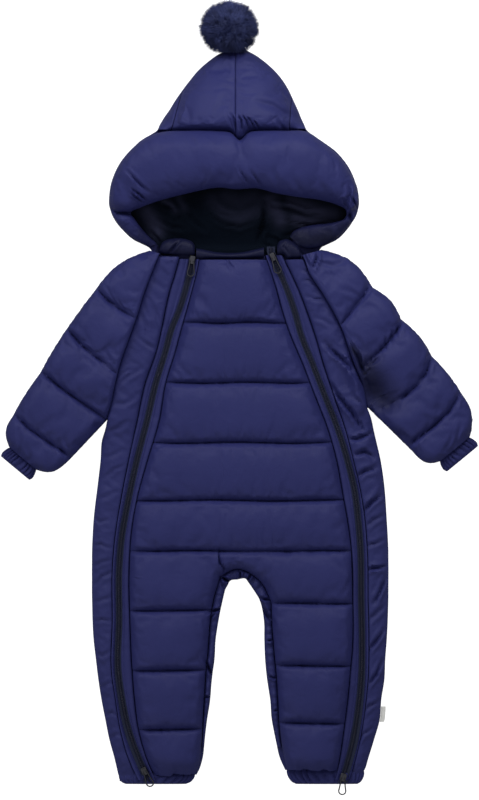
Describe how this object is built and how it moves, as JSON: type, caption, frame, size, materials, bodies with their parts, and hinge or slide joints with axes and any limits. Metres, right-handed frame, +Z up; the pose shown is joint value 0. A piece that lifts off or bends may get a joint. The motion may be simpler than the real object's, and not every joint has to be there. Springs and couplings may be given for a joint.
{
  "type": "baby snowsuit",
  "caption": "Padded hooded baby snowsuit in navy, laid flat: quilted front between two long zips, raglan sleeves, elastic cuffs and hems, pompom on the hood.",
  "frame": {"origin": "on the surface the suit lies on, under the middle of its bounding box", "axes": "+Y along the suit from the hems to the pompom, +Z up out of the front of the suit, +X to the right as seen from above with the hood at the top"},
  "size_m": [0.6124, 1.0219, 0.0903],
  "materials": {
    "navy_nylon": "soft satin sheen",
    "dark_lining": "matte",
    "zip_tape": "matte woven tape with a plastic coil",
    "faux_fur": "fluffy",
    "dark_metal": "glossy",
    "white_ribbon": "matte"
  },
  "bodies": {
    "garment": {"back_panel": "navy_nylon", "collar_front": "navy_nylon", "collar_left": "navy_nylon", "collar_right": "navy_nylon", "crotch_strip": "navy_nylon", "cuff_left": "navy_nylon", "cuff_right": "navy_nylon", "front_panel": "navy_nylon", "hem_left": "navy_nylon", "hem_right": "navy_nylon", "hood_back": "navy_nylon", "hood_brim": "navy_nylon", "hood_crown_left": "navy_nylon", "hood_crown_right": "navy_nylon", "hood_lining": "dark_lining", "hood_side_left": "navy_nylon", "hood_side_right": "navy_nylon", "placket_left_inner": "navy_nylon", "placket_left_outer": "navy_nylon", "placket_right_inner": "navy_nylon", "placket_right_outer": "navy_nylon", "pompom": "faux_fur", "side_front_left": "navy_nylon", "side_front_right": "navy_nylon", "side_label": "white_ribbon", "sleeve_left": "navy_nylon", "sleeve_right": "navy_nylon", "slider_hem_left": "dark_metal", "slider_hem_right": "dark_metal", "slider_top_left": "dark_metal", "slider_top_right": "dark_metal", "zip_tape_left": "zip_tape", "zip_tape_right": "zip_tape"},
    "pull_tab_top_left": {"pull_top_left": "dark_metal"},
    "pull_tab_top_right": {"pull_top_right": "dark_metal"},
    "pull_tab_hem_left": {"pull_hem_left": "dark_metal"},
    "pull_tab_hem_right": {"pull_hem_right": "dark_metal"}
  },
  "joints": [
    {"name": "pull_hinge_top_left", "type": "hinge", "parent": "garment", "child": "pull_tab_top_left", "pos_m": [-0.06027, 0.17911, 0.0308], "axis": [-0.994, 0.109, 0], "range_deg": [0, 120]},
    {"name": "pull_hinge_top_right", "type": "hinge", "parent": "garment", "child": "pull_tab_top_right", "pos_m": [0.04398, 0.18318, 0.0308], "axis": [-0.9422, -0.335, 0], "range_deg": [0, 120]},
    {"name": "pull_hinge_hem_left", "type": "hinge", "parent": "garment", "child": "pull_tab_hem_left", "pos_m": [-0.12103, -0.47782, 0.02113], "axis": [-0.9093, -0.4162, 0], "range_deg": [0, 120]},
    {"name": "pull_hinge_hem_right", "type": "hinge", "parent": "garment", "child": "pull_tab_hem_right", "pos_m": [0.13359, -0.48586, 0.0208], "axis": [-0.9984, 0.057, 0], "range_deg": [0, 120]}
  ]
}
